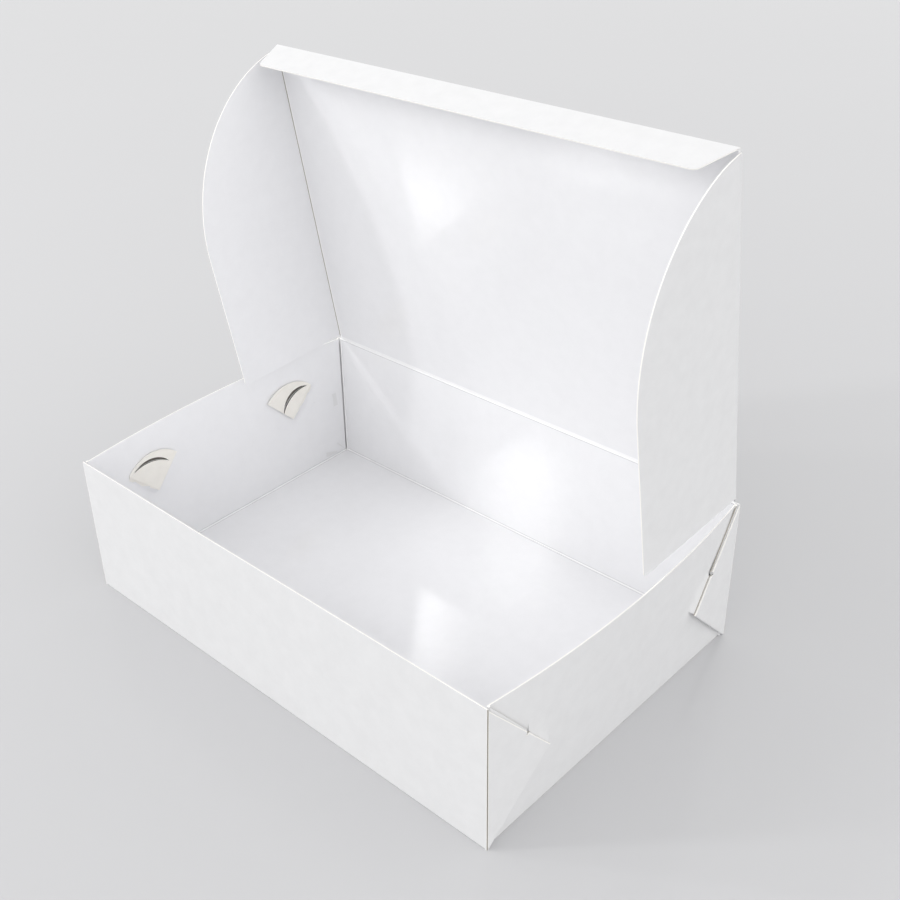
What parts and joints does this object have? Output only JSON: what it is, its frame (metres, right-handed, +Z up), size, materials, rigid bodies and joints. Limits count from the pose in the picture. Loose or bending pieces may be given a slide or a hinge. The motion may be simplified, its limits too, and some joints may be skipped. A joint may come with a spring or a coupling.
{
  "type": "takeout food box",
  "caption": "Shallow one-piece folded white board food box, its lid standing open with folded side flaps and a front tuck flap, and lock corners on the side walls.",
  "frame": {"origin": "centre of the base's underside", "axes": "+X along the front wall to the right, +Y from the front wall to the back wall with the lid's hinge, +Z up"},
  "size_m": [0.239, 0.156, 0.22],
  "materials": {
    "board": "white food board, glossy coated inside, matt outside, cream raw edges"
  },
  "bodies": {
    "tray": {"tray": "board"},
    "lid_panel": {"lid_panel": "board"},
    "tuck_flap": {"tuck_flap": "board"},
    "left_side_flap": {"left_side_flap": "board"},
    "right_side_flap": {"right_side_flap": "board"}
  },
  "joints": [
    {"name": "lid_hinge", "type": "hinge", "parent": "tray", "child": "lid_panel", "pos_m": [0, 0.07775, 0.0674], "axis": [-1, 0, 0], "range_deg": [-80, 100]},
    {"name": "tuck_fold", "type": "hinge", "parent": "lid_panel", "child": "tuck_flap", "pos_m": [0, 0.05089, 0.21975], "axis": [1, 0, 0], "range_deg": [-94, 16]},
    {"name": "left_flap_fold", "type": "hinge", "parent": "lid_panel", "child": "left_side_flap", "pos_m": [-0.11295, 0.07775, 0.0674], "axis": [0, -0.1736, 0.9848], "range_deg": [-90, 10]},
    {"name": "right_flap_fold", "type": "hinge", "parent": "lid_panel", "child": "right_side_flap", "pos_m": [0.11295, 0.07775, 0.0674], "axis": [0, 0.1736, -0.9848], "range_deg": [-90, 10]}
  ]
}
